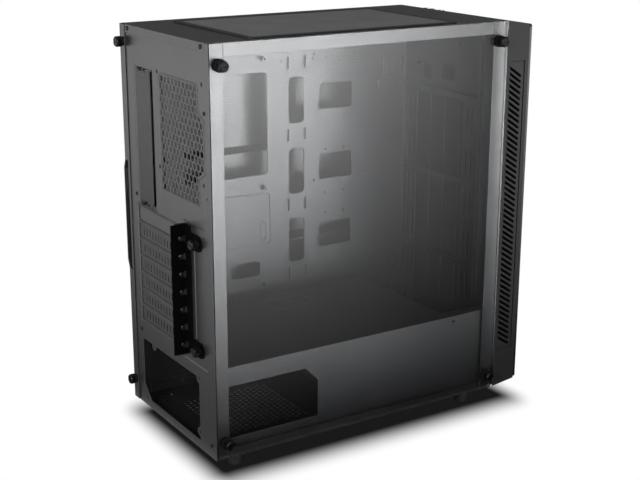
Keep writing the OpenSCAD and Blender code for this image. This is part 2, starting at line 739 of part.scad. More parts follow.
module glass_screw_rear_top() glass_screw(glass_y[0], glass_z[1]);
module glass_screw_rear_bottom() glass_screw(glass_y[0], glass_z[0]);
module glass_screw_front_top() glass_screw(glass_y[1], glass_z[1]);
module glass_screw_front_bottom() glass_screw(glass_y[1], glass_z[0]);

// ---------------------------------------------------------------- right-hand side

module right_panel() color("dimgray") {
    y0 = y_f + 0.5;
    difference() {
        union() {
            side(x_r - sheet) rect([y0, z_f + 0.5], [y_r + seat + sheet, z_t - 0.5]);
            // flange over the rear sheet, with the two screw holes
            upright(y_r + seat + sheet) difference() {
                rect([panel_screw_x - 6, z_f + 0.5], [x_r, z_t - 0.5]);
                for (z = panel_screw_z) translate([panel_screw_x - 1, z]) circle(d = shank_d + 1);
                finger_gap(9);
            }
            panel_bulge(0);
        }
        translate([-sheet, 0, 0]) panel_bulge(sheet);
    }
    // hooks behind the borders of the roof and the floor
    for (y = hook_y, z = hook_z) {
        block([x_r - sheet - hook_reach, y, z - 0.6], [x_r - sheet + eps, y + hook_w, z + 0.6]);
        block([x_r - sheet - hook_reach, y - hook_w, z - 1.6],
            [x_r - sheet - hook_reach + 1, y + hook_w, z + 1.6]);
    }
}

// raised field with sloping edges, open at the rear as a finger grip; grown inwards by
// one sheet for its hollow side
module panel_bulge(inset) {
    y0 = y_f + 60 + inset;
    y1 = y_r + seat + sheet + inset;
    z0 = bulge_z[0] + inset;
    z1 = bulge_z[1] - inset;
    b = bulge_h;
    x = x_r - eps;
    top = x_r + b;
    intersection() {
        level(z0 - 1, z1 - z0 + 2) polygon([[x, y0], [top, y0 + 2.5 * b], [top, y1], [x, y1]]);
        translate([0, y1 + 1, 0]) rotate([90, 0, 0]) linear_extrude(y1 - y0 + 2)
            polygon([[x, z0], [top, z0 + 2.5 * b], [top, z1 - 2.5 * b], [x, z1]]);
    }
}

module panel_screw(z) color("black")
    translate([panel_screw_x - 1, y_r + 2 * seat + sheet, z]) rotate([-90, 0, 0])
        thumbscrew(3 * seat + 2 * sheet + 5);
module panel_screw_top() panel_screw(panel_screw_z[1]);
module panel_screw_bottom() panel_screw(panel_screw_z[0]);

// ---------------------------------------------------------------- slot guard

module slot_guard() color("black") {
    // leg with a window at each ear and a hole at each screw
    difference() {
        side(guard_x - sheet) rect([y_r + seat, guard_z0], [y_r + guard_reach, guard_z1]);
        for (z = slot_mid) {
            block([guard_x - sheet - 1, y_r - 1, z - 4], [guard_x + 1, y_r + 4.5, z + 4]);
            translate([guard_x - sheet - 1, y_r + 7, z]) rotate([0, 90, 0]) cylinder(d = 6.6, h = sheet + 2);
        }
    }
    // foot on the rear sheet, with an ear round each thumbscrew
    upright(y_r + seat + sheet) difference() {
        union() {
            rect([guard_x - guard_foot, guard_z0], [guard_x, guard_z1]);
            for (z = guard_screw_z) {
                rect([guard_screw_x, z - guard_ear / 2], [guard_x - 1, z + guard_ear / 2]);
                translate([guard_screw_x, z]) circle(d = guard_ear);
            }
        }
        for (z = guard_screw_z) translate([guard_screw_x, z]) circle(d = shank_d + 1);
    }
}

module guard_screw(z) color("black")
    translate([guard_screw_x, y_r + 2 * seat + sheet, z]) rotate([-90, 0, 0])
        thumbscrew(2 * seat + 2 * sheet + 4);
module guard_screw_top() guard_screw(guard_screw_z[1]);
module guard_screw_bottom() guard_screw(guard_screw_z[0]);

// ---------------------------------------------------------------- filters

module roof_filter_rim() color("black")
    level(z_t + seat, rim_t) difference() {
        translate([filter_x, filter_y]) round_rect(filter_w, filter_l, 4);
        mesh_field();
    }

module mesh_field()
    translate([filter_x, filter_y]) round_rect(filter_w - 2 * rim_w, filter_l - 2 * rim_w, 4);

module roof_filter_mesh() color("gray") level(z_t + seat + 0.3, rim_t - 0.6) mesh_field();

module psu_filter_frame() color("black") {
    difference() {
        level(z_f - 4.8, 2.6) translate([vent_x, vent_y]) round_rect(2 * filter_half, 138, 3);
        level(z_f - 6, 5) translate([vent_x, vent_y]) for (s = [-1, 1])
            translate([s * filter_half / 2, 0]) round_rect(filter_half - 6, 122, 3);
    }
    // finger pull at the rear
    block([vent_x - 20, y_r - 24, z_f - 8], [vent_x + 20, y_r - 21, z_f - 2.2]);
}

module psu_filter_mesh() color("gray")
    level(z_f - 4, 1) translate([vent_x, vent_y]) for (s = [-1, 1])
        translate([s * filter_half / 2, 0]) round_rect(filter_half - 6, 122, 3);

// ---------------------------------------------------------------- front panel

// outline of the front panel's side: Y and Z, the top dropping and the foot rising to the face
module front_outline(d, inset)
    polygon([[y_shell, z_f + 0.5 + inset], [y_shell - d, z_f + 0.5 + low_rise + inset],
        [y_shell - d, z_t - 0.5 - top_drop - inset], [y_shell, z_t - 0.5 - inset]]);

module front_shell() color("black") difference() {
    side(x_l, body_w) front_outline(front_d - face_t, 0);
    // hollow, open to the chassis
    translate([0, eps, 0]) side(x_l + shell_t, body_w - 2 * shell_t)
        front_outline(front_d - face_t - shell_t, shell_t);
    // air opening behind the face
    block([x_l + 26, y_face - 1, z_f + 40], [x_r - 26, y_face + face_t + shell_t + 1, z_t - 55]);
    // seats of the two vent strips
    for (x = [x_l, x_r - strip_t])
        block([x - (x == x_l ? 1 : 0), y_shell - strip_d - groove, strip_z0],
            [x + strip_t + (x == x_l ? 0 : 1), y_shell + 1, strip_z1]);
    for (s = [-1, 1]) block([s < 0 ? x_l - 1 : x_r - shell_t - 1, y_shell - strip_d + 3, strip_z0 + 3],
        [s < 0 ? x_l + shell_t + 1 : x_r + 1, y_shell + 1, strip_z1 - 3]);
    // holes for the controls in the top wall
    on_top(power_x) cylinder(d = power_d + 2 * seat, h = 12, center = true);
    on_top(reset_x) cylinder(d = reset_d + 2 * seat, h = 12, center = true);
    for (x = audio_x) on_top(x) cylinder(d = 7, h = 12, center = true);
    for (x = usb_x) on_top(x) cube([usb_w, usb_h, 12], center = true);
    on_top(light_x) cylinder(d = 3, h = 12, center = true);
}

// place on the sloping top of the front panel, with +Z out of it
module on_top(x) translate([x, control_y, z_t - 0.5 - 15 * top_drop / front_d])
    rotate([top_slope, 0, 0]) children();

module front_face() color([0.05, 0.05, 0.06])
    upright(y_face + face_t, face_t) translate([mid_x, (z_f + low_rise + z_t - top_drop) / 2])
        round_rect(body_w - 1, body_h - low_rise - top_drop - 2, 3);

// slanted vent slots of one side, drawn in Y and Z
module vent_slots()
    for (i = [0 : vent_fit - 1]) translate([vent_y0, vent_z0 - i * vent_pitch])
        rotate(vent_tilt) oblong(vent_l, vent_w);

module vent_strip(x) color("black")
    side(x, strip_t - 0.4) difference() {
        rect([y_shell - strip_d, strip_z0 + 0.2], [y_shell, strip_z1 - 0.2]);
        vent_slots();
    }
module vent_strip_left() vent_strip(x_l + 0.4);
module vent_strip_right() vent_strip(x_r - strip_t);

// outline of the front filter, cleared for the clips that pass it
module filter_field() difference() {
    rect([x_l + shell_t, z_f + 34], [x_r - shell_t, z_t - 45]);
    for (x = clip_x, z = clip_z) translate([x, z]) circle(d = clip_d + 4 * seat);
}

module front_filter() color("dimgray") {
    y = y_shell - 4;
    upright(y, 3) difference() {
        filter_field();
        // four fields before each fan, with a rib between them
        for (z = front_fan_z, i = [-1.5 : 1.5])
            translate([fan_front_x + i * filter_pitch, z]) square([filter_pitch - 6, 98], center = true);
    }
    // woven mesh between the ribs
    upright(y - 1.2, 0.6) intersection() {
        filter_field();
        rect([x_l + 12, z_f + 36], [x_r - 12, z_t - 47]);
    }
}

// pins that spring into the front frame, on bosses of the shell
module front_clips() color("black")
    for (x = clip_x, z = clip_z) translate([x, y_shell - 12, z]) rotate([-90, 0, 0]) {
        cylinder(d = clip_d, h = 12 + seat + sheet + 5);
        translate([0, 0, 12 - clip_l]) cylinder(d = clip_d + 2.4, h = clip_l - 12 + eps);
    }

module usb_sockets() color("silver")
    for (x = usb_x) on_top(x) difference() {
        block([-usb_w / 2 + 0.2, -usb_h / 2 + 0.2, -board_drop], [usb_w / 2 - 0.2, usb_h / 2 - 0.2, -0.3]);
        block([-usb_w / 2 + 0.7, -usb_h / 2 + 0.7, -board_drop + 2], [usb_w / 2 - 0.7, usb_h / 2 - 0.7, 1]);
    }

module audio_sockets() color("dimgray")
    for (x = audio_x) on_top(x) translate([0, 0, -board_drop]) difference() {
        cylinder(d = 6.6, h = board_drop);
        translate([0, 0, 2]) cylinder(d = 3.6, h = board_drop);
    }

module io_board() color("darkgreen") {
    on_top(0) block([mid_x - 90, -9, -board_drop - 1.6], [mid_x + 74, 9, -board_drop]);
    // switches under the two buttons
    for (x = [power_x, reset_x]) on_top(x) translate([0, 0, -board_drop])
        cylinder(d = 5, h = board_drop - button_l - press - seat);
}

module power_light() color("white")
    on_top(light_x) translate([0, 0, -board_drop]) cylinder(d = 2.9, h = board_drop);

// round button with a rim that catches under the top wall
module button(x, d) on_top(x) {
    translate([0, 0, -button_l]) cylinder(d = d, h = button_l + 0.8);
    translate([0, 0, -shell_t - 3 * seat - 2]) cylinder(d = d + 3, h = 2);
}
module power_button() color("gray") button(power_x, power_d);
module reset_button() color("gray") button(reset_x, reset_d);

floor_pan();
rear_panel();
rear_fan_grille();
roof();
front_frame();
motherboard_tray();
psu_shroud();
shroud_cover();
slot_cover_plain();
slot_covers();
slot_screws();
board_standoffs();
glass_nuts();
chassis_screws();
drive_cage();
drive_trays();
feet();
foot_pads();
psu_pads();
psu_filter_rails();
side_glass();
glass_grommets();
glass_screw_rear_top();
glass_screw_rear_bottom();
glass_screw_front_top();
glass_screw_front_bottom();
right_panel();
panel_screw_top();
panel_screw_bottom();
slot_guard();
guard_screw_top();
guard_screw_bottom();
roof_filter_rim();
roof_filter_mesh();
psu_filter_frame();
psu_filter_mesh();
front_shell();
front_face();
vent_strip_left();
vent_strip_right();
front_filter();
front_clips();
usb_sockets();
audio_sockets();
io_board();
power_light();
power_button();
reset_button();
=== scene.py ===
import json
import math

import bpy
import numpy as np
from mathutils import Matrix, Vector


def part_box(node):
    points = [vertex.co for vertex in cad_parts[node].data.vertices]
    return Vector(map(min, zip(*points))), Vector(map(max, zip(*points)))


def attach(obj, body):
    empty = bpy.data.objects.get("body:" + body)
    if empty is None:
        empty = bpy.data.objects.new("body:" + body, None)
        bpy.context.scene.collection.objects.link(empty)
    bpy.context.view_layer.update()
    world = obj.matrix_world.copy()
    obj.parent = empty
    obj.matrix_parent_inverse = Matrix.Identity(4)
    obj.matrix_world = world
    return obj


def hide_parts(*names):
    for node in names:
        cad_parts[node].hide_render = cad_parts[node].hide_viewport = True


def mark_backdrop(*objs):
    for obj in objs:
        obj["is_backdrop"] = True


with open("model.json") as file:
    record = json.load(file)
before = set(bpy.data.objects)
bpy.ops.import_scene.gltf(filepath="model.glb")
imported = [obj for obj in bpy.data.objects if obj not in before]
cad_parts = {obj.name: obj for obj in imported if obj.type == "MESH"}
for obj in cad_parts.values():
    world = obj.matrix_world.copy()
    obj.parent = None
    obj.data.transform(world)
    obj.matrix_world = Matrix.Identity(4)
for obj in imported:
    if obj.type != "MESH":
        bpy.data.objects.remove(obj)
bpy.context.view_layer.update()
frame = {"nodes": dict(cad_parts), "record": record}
MM = 0.001


# ------------------------------------------------------------------ node trees

def node(tree, kind, inputs=None, **settings):
    """One shader node, with its settings and its unlinked inputs given by name or place."""
    made = tree.nodes.new("ShaderNode" + kind)
    for key, value in settings.items():
        setattr(made, key, value)
    for key, value in (inputs or {}).items():
        if isinstance(value, bpy.types.NodeSocket):
            tree.links.new(value, made.inputs[key])
        else:
            made.inputs[key].default_value = value
    return made


def math_node(tree, operation, a, b=0.0, clamp=False):
    """a and b joined by one operation of arithmetic."""
    return node(tree, "Math", {0: a, 1: b}, operation=operation, use_clamp=clamp).outputs[0]


def spread(tree, value, low, high, to_low, to_high):
    """value carried from one range to another, and held at its ends."""
    made = node(tree, "MapRange", {0: value, 1: low, 2: high, 3: to_low, 4: to_high}, clamp=True)
    return made.outputs[0]


def tones(tree, share, first, second):
    """A colour between two others."""
    made = node(tree, "Mix", data_type="RGBA")
    made.inputs[6].default_value = (*first, 1)
    made.inputs[7].default_value = (*second, 1)
    tree.links.new(share, made.inputs[0])
    return made.outputs[2]


def noise(tree, place, scale, detail=2.0, roughness=0.5):
    """Cloudy noise whose lumps are about 1 / scale metres wide."""
    values = {"Vector": place, "Scale": scale, "Detail": detail, "Roughness": roughness}
    return node(tree, "TexNoise", values).outputs[0]


def relief(tree, height, depth, strength, under=None):
    """A normal that follows a height map of that depth in metres."""
    values = {"Height": height, "Distance": depth, "Strength": strength}
    if under is not None:
        values["Normal"] = under
    return node(tree, "Bump", values).outputs[0]


def new_finish(name):
    """An empty material: its tree, its Principled shader and the place on the piece."""
    made = bpy.data.materials.new(name)
    made.use_nodes = True
    tree = made.node_tree
    shader = tree.nodes["Principled BSDF"]
    place = node(tree, "TexCoord").outputs["Object"]
    return made, tree, shader, place


def softened(tree, radius):
    """The rounded normal of sharp edges, and how close the surface lies to such an edge."""
    rounded = node(tree, "Bevel", {"Radius": radius}, samples=6).outputs[0]
    flat = node(tree, "NewGeometry").outputs["Normal"]
    both = node(tree, "VectorMath", {0: rounded, 1: flat}, operation="DOT_PRODUCT")
    return rounded, spread(tree, both.outputs["Value"], 0.995, 0.88, 0.0, 1.0)


# ------------------------------------------------------------------ finishes

def powder_coat(name, dark, light, worn, rough=0.5, grain=1500.0, depth=0.00012, shine=0.5):
    """Baked powder on steel: fine grain over a soft orange peel, thinner and paler on folds."""
    made, tree, shader, place = new_finish(name)
    fine = noise(tree, place, grain, 2.0, 0.6)
    peel = noise(tree, place, 260.0, 1.0)
    cloud = noise(tree, place, 11.0, 3.0)
    rounded, edge = softened(tree, 0.5 * MM)
    scuffs = spread(tree, noise(tree, place, 90.0, 4.0, 0.7), 0.42, 0.62, 0.0, 1.0)
    wear = math_node(tree, "MULTIPLY", edge, math_node(tree, "ADD", 0.35, scuffs), True)
    body = tones(tree, spread(tree, cloud, 0.3, 0.7, 0, 1), dark, light)
    colour = node(tree, "Mix", {0: math_node(tree, "MULTIPLY", wear, 0.7)}, data_type="RGBA")
    tree.links.new(body, colour.inputs[6])
    colour.inputs[7].default_value = (*worn, 1)
    tree.links.new(colour.outputs[2], shader.inputs["Base Color"])
    gloss = math_node(tree, "ADD", spread(tree, fine, 0.3, 0.7, rough - 0.06, rough + 0.07),
                      spread(tree, cloud, 0.3, 0.7, -0.03, 0.03))
    tree.links.new(gloss, shader.inputs["Roughness"])
    shader.inputs["Specular IOR Level"].default_value = shine
    skin = relief(tree, peel, 0.0004, 0.25, rounded)
    tree.links.new(relief(tree, fine, depth, 0.5, skin), shader.inputs["Normal"])
    return made


def moulded(name, dark, light, rough, grain=2600.0, depth=0.00006, strength=0.5):
    """Moulded plastic with an even spark-eroded grain."""
    made, tree, shader, place = new_finish(name)
    fine = noise(tree, place, grain, 1.0)
    cloud = noise(tree, place, 18.0, 2.0)
    rounded, edge = softened(tree, 0.6 * MM)
    share = math_node(tree, "ADD", spread(tree, cloud, 0.3, 0.7, 0, 0.7),
                      math_node(tree, "MULTIPLY", edge, 0.5))
    tree.links.new(tones(tree, share, dark, light), shader.inputs["Base Color"])
    gloss = spread(tree, fine, 0.3, 0.7, rough - 0.05, rough + 0.05)
    tree.links.new(gloss, shader.inputs["Roughness"])
    tree.links.new(relief(tree, fine, depth, strength, rounded), shader.inputs["Normal"])
    return made


def bare_metal(name, colour, rough, along=(900.0, 60.0, 900.0), streak=0.12, edge_light=0.1):
    """Plated or turned metal with fine lines along one direction and dull clouds."""
    made, tree, shader, place = new_finish(name)
    lined = node(tree, "Mapping", {"Vector": place, "Scale": along}).outputs[0]
    lines = noise(tree, lined, 1.0, 3.0, 0.6)
    cloud = noise(tree, place, 140.0, 2.0)
    rounded, edge = softened(tree, 0.3 * MM)
    pale = tuple(min(1.0, c + edge_light) for c in colour)
    share = math_node(tree, "ADD", spread(tree, cloud, 0.3, 0.7, 0.0, 0.5),
                      math_node(tree, "MULTIPLY", edge, 0.5))
    dull = tuple(c * 0.82 for c in colour)
    tree.links.new(tones(tree, share, dull, pale), shader.inputs["Base Color"])
    shader.inputs["Metallic"].default_value = 1.0
    gloss = math_node(tree, "ADD", spread(tree, lines, 0.3, 0.7, rough - streak, rough + streak),
                      spread(tree, cloud, 0.3, 0.7, -0.04, 0.06))
    tree.links.new(gloss, shader.inputs["Roughness"])
    tree.links.new(relief(tree, lines, 0.00003, 0.4, rounded), shader.inputs["Normal"])
    return made


def soft_rubber(name, dark, light):
    """Matt moulded rubber with faint dust in its grain."""
    made, tree, shader, place = new_finish(name)
    fine = noise(tree, place, 1800.0, 3.0, 0.6)
    dust = noise(tree, place, 70.0, 3.0, 0.6)
    shader.inputs["Specular IOR Level"].default_value = 0.15
    share = spread(tree, dust, 0.35, 0.7, 0, 1)
    tree.links.new(tones(tree, share, dark, light), shader.inputs["Base Color"])
    tree.links.new(spread(tree, fine, 0.3, 0.7, 0.68, 0.85), shader.inputs["Roughness"])
    tree.links.new(relief(tree, fine, 0.00008, 0.5), shader.inputs["Normal"])
    return made


def woven_mesh(name, dark, light, pitch, plane):
    """Woven filter: crossing threads of that pitch, darker in the holes between them."""
    made, tree, shader, place = new_finish(name)
    parts = node(tree, "SeparateXYZ", {0: place})
    turn = 2 * math.pi / pitch
    waves = []
    for axis in plane:
        angle = math_node(tree, "MULTIPLY", parts.outputs[axis], turn)
        wave = math_node(tree, "SINE", math_node(tree, "MULTIPLY", angle, 0.5))
        waves.append(math_node(tree, "ABSOLUTE", wave))
    threads = math_node(tree, "MAXIMUM", waves[0], waves[1])
    shade = spread(tree, threads, 0.55, 0.95, 0.0, 1.0)
    cloud = noise(tree, place, 25.0, 2.0)
    share = math_node(tree, "MULTIPLY", shade, spread(tree, cloud, 0.3, 0.7, 0.85, 1.0))
    tree.links.new(tones(tree, share, dark, light), shader.inputs["Base Color"])
    shader.inputs["Roughness"].default_value = 0.62
    tree.links.new(relief(tree, threads, 0.0003, 0.7), shader.inputs["Normal"])
    return made


def tempered_glass(name, tint):
    """Clear tempered glass, a little grey, with faint smears. Shadow and diffuse rays pass straight
    through it, so that the lamps light what it covers."""
    made, tree, shader, place = new_finish(name)
    out = tree.nodes["Material Output"]
    shader.inputs["Base Color"].default_value = (*tint, 1)
    shader.inputs["Transmission Weight"].default_value = 1.0
    shader.inputs["IOR"].default_value = 1.42
    smears = noise(tree, place, 7.0, 4.0, 0.65)
    tree.links.new(spread(tree, smears, 0.5, 0.75, 0.0, 0.012), shader.inputs["Roughness"])
    clear = node(tree, "BsdfTransparent", {0: (*tint, 1)})
    path = node(tree, "LightPath")
    passing = math_node(tree, "MAXIMUM", path.outputs["Is Shadow Ray"],
                        path.outputs["Is Diffuse Ray"])
    both = node(tree, "MixShader", {0: passing, 1: shader.outputs[0], 2: clear.outputs[0]})
    tree.links.new(both.outputs[0], out.inputs["Surface"])
    return made


def polished_black(name):
    """Polished black plastic with faint hairlines in its gloss."""
    made, tree, shader, place = new_finish(name)
    shader.inputs["Coat Weight"].default_value = 0.3
    shader.inputs["Coat Roughness"].default_value = 0.05
    lined = node(tree, "Mapping", {"Vector": place, "Scale": (60.0, 60.0, 1400.0)}).outputs[0]
    lines = noise(tree, lined, 1.0, 3.0, 0.6)
    cloud = noise(tree, place, 14.0, 3.0)
    share = spread(tree, cloud, 0.3, 0.7, 0, 1)
    colour = tones(tree, share, (0.010, 0.010, 0.011), (0.016, 0.016, 0.018))
    tree.links.new(colour, shader.inputs["Base Color"])
    tree.links.new(spread(tree, lines, 0.3, 0.7, 0.16, 0.26), shader.inputs["Roughness"])
    tree.links.new(relief(tree, lines, 0.00001, 0.15), shader.inputs["Normal"])
    return made


def solder_mask(name):
    """Green circuit board with darker copper runs under the lacquer."""
    made, tree, shader, place = new_finish(name)
    bricks = {"Vector": place, "Scale": 160.0, "Mortar Size": 0.06}
    runs = node(tree, "TexBrick", bricks).outputs["Fac"]
    colour = tones(tree, runs, (0.008, 0.05, 0.022), (0.02, 0.11, 0.05))
    tree.links.new(colour, shader.inputs["Base Color"])
    shader.inputs["Roughness"].default_value = 0.32
    tree.links.new(relief(tree, runs, 0.00004, 0.4), shader.inputs["Normal"])
    return made


FINISHES = {
    "black_steel": powder_coat(
        "black_steel", (0.016, 0.016, 0.017), (0.024, 0.024, 0.025), (0.20, 0.20, 0.20),
        rough=0.34, shine=1.0),
    "perforated_steel": powder_coat(
        "perforated_steel", (0.034, 0.034, 0.035), (0.048, 0.048, 0.050), (0.16, 0.16, 0.16),
        rough=0.45),
    # slot guard: partly its own black paint and partly painted shade; it is made far darker and
    # almost without sheen next to the case's other black steel, so its colour carries the shade on
    # the guard's leg
    "guard_black": powder_coat(
        "guard_black", (0.002, 0.002, 0.002), (0.004, 0.004, 0.004), (0.02, 0.02, 0.02),
        rough=0.55, shine=0.02),
    "tinted_glass": tempered_glass("tinted_glass", (0.80, 0.81, 0.82)),
    "black_screw": bare_metal("black_screw", (0.014, 0.014, 0.015), 0.30, edge_light=0.05),
    "zinc": bare_metal("zinc", (0.62, 0.62, 0.60), 0.3),
    "zinc_dark": bare_metal("zinc_dark", (0.07, 0.07, 0.07), 0.34, edge_light=0.10),
    "rubber": soft_rubber("rubber", (0.008, 0.008, 0.008), (0.016, 0.016, 0.016)),
    "black_plastic": moulded("black_plastic", (0.022, 0.022, 0.023), (0.034, 0.034, 0.036), 0.46),
    "gloss_black": polished_black("gloss_black"),
    "filter_mesh": woven_mesh(
        "filter_mesh", (0.02, 0.02, 0.02), (0.44, 0.44, 0.44), pitch=1.9 * MM, plane=(0, 1)),
    "circuit_board": solder_mask("circuit_board"),
    "light_pipe": moulded("light_pipe", (0.75, 0.78, 0.82), (0.85, 0.88, 0.92), 0.3),
    "button_metal": bare_metal("button_metal", (0.50, 0.50, 0.52), 0.26),
}
for entry in frame["record"]["subparts"]:
    piece = frame["nodes"][entry["node"]]
    piece.data.materials.clear()
    piece.data.materials.append(FINISHES[entry["material_slot"]])


# ------------------------------------------------------------------ turned pieces

HEAD_LENGTH = 0.009  # of a thumbscrew; the values below are in millimetres
SHANK_RADIUS = 1.74
THREAD_DEPTH = 0.2
THREAD_STEP = 0.35  # half of the pitch
KNURLS = 26
KNURL_DEPTH = 0.07  # share of the radius
DRIVER_SLOT = 1.3
SUNK_FACE = 0.35
# height over the seat and radius: collar, neck, grip and its rounded end
HEAD_PROFILE = (
    (0.0, SHANK_RADIUS), (0.0, 3.0), (0.0, 4.7), (0.25, 5.1), (1.1, 5.1), (1.4, 5.0), (1.7, 5.3),
    (2.0, 5.9), (2.2, 6.0), (3.6, 6.0), (5.2, 6.0), (6.8, 6.0), (7.6, 6.0), (7.9, 5.85),
    (8.4, 5.5), (8.8, 5.2), (9.0, 4.9))
SLOT_SCREW_RISE = 2.0
SLOT_COUNT = 7


def turned_piece(name, stacks, finish):
    """One closed skin over stacks of rings. Each stack is an array (ring, corner, 3) that runs from
    its first pole to its last; the poles are the middles of the first and the last ring."""
    points, faces, first = [], [], 0
    for stack in stacks:
        rows, count = stack.shape[:2]
        ring = np.arange(count)
        after = (ring + 1) % count
        lower = first + np.arange(rows - 1)[:, None] * count
        upper = lower + count
        band = np.stack([lower + ring, lower + after, upper + after, upper + ring], -1)
        pole, last = first + rows * count, first + (rows - 1) * count
        faces += band.reshape(-1, 4).tolist()
        faces += np.stack([np.full(count, pole), first + after, first + ring], -1).tolist()
        faces += np.stack([np.full(count, pole + 1), last + ring, last + after], -1).tolist()
        points.append(np.concatenate([stack.reshape(-1, 3), [stack[0].mean(0), stack[-1].mean(0)]]))
        first += rows * count + 2
    mesh = bpy.data.meshes.new(name)
    mesh.from_pydata(np.concatenate(points).tolist(), [], faces)
    mesh.materials.append(FINISHES[finish])
    made = bpy.data.objects.new(name, mesh)
    bpy.context.scene.collection.objects.link(made)
    return made


def stood(local, at, out):
    """Local points in millimetres, third axis outwards, carried to a place in metres."""
    outwards = np.array(out, float)
    side = np.array((0.0, 0.0, 1.0))
    return np.array(at) + MM * (local @ np.stack([side, np.cross(outwards, side), outwards]))


def smooth(value, low, high):
    """0 below low, 1 above high, and 3t^2 - 2t^3 between them."""
    t = np.clip((value - low) / (high - low), 0.0, 1.0)
    return t * t * (3.0 - 2.0 * t)


def thumbscrew(name, turn):
    """A knurled thumbscrew that fills the box of its CAD node. At turn u and step s of its profile
    the radius is r(s) (1 - 0.07 k(s) (0.5 + 0.5 cos 26u)), where k is 1 on the grip. Its end face
    sinks by 1.3 mm along a driver slot 1.5 mm wide, and by 0.35 mm inside a turned rim. The
    thread's radius swings by 0.2 mm over a pitch of 0.7 mm."""
    low, high = (np.array(corner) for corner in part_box(name))
    along = int(np.argmax(high - low))
    out = (-1, 0, 0) if along == 0 else (0, 1, 0)
    at = 0.5 * (low + high)
    at[along] = low[along] + HEAD_LENGTH if along == 0 else high[along] - HEAD_LENGTH
    shank = ((high - low)[along] - HEAD_LENGTH) / MM
    thread = np.arange(THREAD_STEP, shank - 0.6, THREAD_STEP)[::-1]
    swing = THREAD_DEPTH * (np.arange(len(thread)) % 2)
    profile = [(-shank, 0.9), (-shank + 0.35, 1.45), *zip(-thread, SHANK_RADIUS - swing)]
    profile += [*HEAD_PROFILE, *((9.0, r) for r in np.linspace(4.7, 0.25, 22))]
    height, radius = np.array(profile).T[:, :, None]
    u = np.linspace(0, 2 * np.pi, 6 * KNURLS + 1)[:-1][None]
    grip = smooth(height, 1.8, 2.3) * (1.0 - smooth(height, 7.5, 8.2))
    r = radius * (1.0 - KNURL_DEPTH * grip * (0.5 + 0.5 * np.cos(KNURLS * u)))
    across, beside = r * np.cos(u + turn), r * np.sin(u + turn)
    end = smooth(height, 8.7, 8.99)
    sunk = SUNK_FACE * (1.0 - smooth(r, 4.0, 4.35)) * (height > 8.9)
    cut = DRIVER_SLOT * end * (1.0 - smooth(np.abs(across), 0.6, 0.85))
    local = np.stack([across, beside, height - np.maximum(sunk, cut)], -1)
    return turned_piece("turned_" + name, [stood(local, at, out)], "black_screw")


def pan_screw(at, out, head, rise, turn, shank):
    """A pan head with a cross recess: at radius r its height is rise sqrt(1 - 0.8 (r / head)^2),
    less 0.45 of the rise where a point lies within 0.4 mm of an arm of the cross and within half of
    the head's radius; below it a plain shank."""
    steps = [(-shank, 0.5), (-shank + 0.4, 1.2), (-0.02, 1.2), (0.0, head * 0.7), (0.0, head),
             (rise * 0.3, head)]
    steps += [(None, r) for r in np.linspace(head * 0.985, 0.12, 15)]
    u = np.linspace(0, 2 * np.pi, 65)[:-1]
    rings = []
    for height, radius in steps:
        a, b = radius * np.cos(u + turn), radius * np.sin(u + turn)
        if height is None:
            arm = 1.0 - smooth(np.minimum(np.abs(a), np.abs(b)), 0.3, 0.5)
            cut = arm * (1.0 - smooth(radius, head * 0.5, head * 0.6))
            level = rise * np.sqrt(1.0 - 0.8 * (radius / head) ** 2) - 0.45 * rise * cut
        else:
            level = np.full_like(a, height)
        rings.append(np.stack([a, b, level], -1))
    return stood(np.array(rings), at, out)


def slot_screws():
    """The seven screws of the slot covers, evenly spaced up the box of their CAD node."""
    low, high = (np.array(corner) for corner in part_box("slot_screws"))
    head = 0.5 * (high - low)[1] / MM
    base = low[0] + SLOT_SCREW_RISE * MM
    shank = (high[0] - base) / MM
    heights = np.linspace(low[2] + head * MM, high[2] - head * MM, SLOT_COUNT)
    places = [(base, 0.5 * (low + high)[1], z) for z in heights]
    stacks = [pan_screw(at, (-1, 0, 0), head, SLOT_SCREW_RISE, turn=0.4 + 0.7 * i, shank=shank)
              for i, at in enumerate(places)]
    return turned_piece("turned_slot_screws", stacks, "zinc_dark")


THUMBSCREWS = (
    "glass_screw_rear_top", "glass_screw_rear_bottom", "glass_screw_front_top",
    "glass_screw_front_bottom", "panel_screw_top", "panel_screw_bottom", "guard_screw_top",
    "guard_screw_bottom")

piece = slot_screws()
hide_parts("slot_screws")
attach(piece, "chassis")
for number, screw in enumerate(THUMBSCREWS):
    piece = thumbscrew(screw, turn=0.6 + 1.1 * number)
    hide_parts(screw)
    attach(piece, screw)


# ------------------------------------------------------------------ camera

CAMERA_PLACE = (-1.1987, 0.7703, 0.6386)


def aim(azimuth, elevation, roll):
    """Right, up and back axes of a camera; azimuth 0 looks along +Y and it turns to the left."""
    a, e, t = (math.radians(v) for v in (azimuth, elevation, roll))
    forward = Vector((-math.sin(a) * math.cos(e), math.cos(a) * math.cos(e), -math.sin(e)))
    right = Vector((math.cos(a), math.sin(a), 0))
    above = right.cross(forward)
    return (math.cos(t) * right + math.sin(t) * above,
            math.cos(t) * above - math.sin(t) * right, -forward)


def placed(axes, at):
    """The matrix that stands something at a point with those axes."""
    turned = Matrix(axes).transposed().to_4x4()
    turned.translation = at
    return turned


camera = bpy.data.objects.new("camera", bpy.data.cameras.new("camera"))
camera.data.sensor_width = 36
camera.data.lens = 69.63
camera.data.clip_start = 0.05
camera.data.clip_end = 60
camera.matrix_world = placed(aim(azimuth=237.46, elevation=16.49, roll=0.16), CAMERA_PLACE)
bpy.context.scene.collection.objects.link(camera)
bpy.context.scene.camera = camera
bpy.context.scene.view_settings.view_transform = "Standard"


# ------------------------------------------------------------------ studio

WORLD_LIGHT = 0.14
MATT_FLOOR = 0.35
FLOOR_REACH = 14.0
CARD_HEIGHT = 0.002
DOME_RADIUS = 6.0
DOME_TURNS, DOME_RISES = 48, 12
# axis, how far inside the case's outline the floor's painted contact shadow starts, and how far it
# reaches
PAINTED_SHADOW_EDGES = ((0, 0.011, 0.060), (1, 0.0165, 0.042))
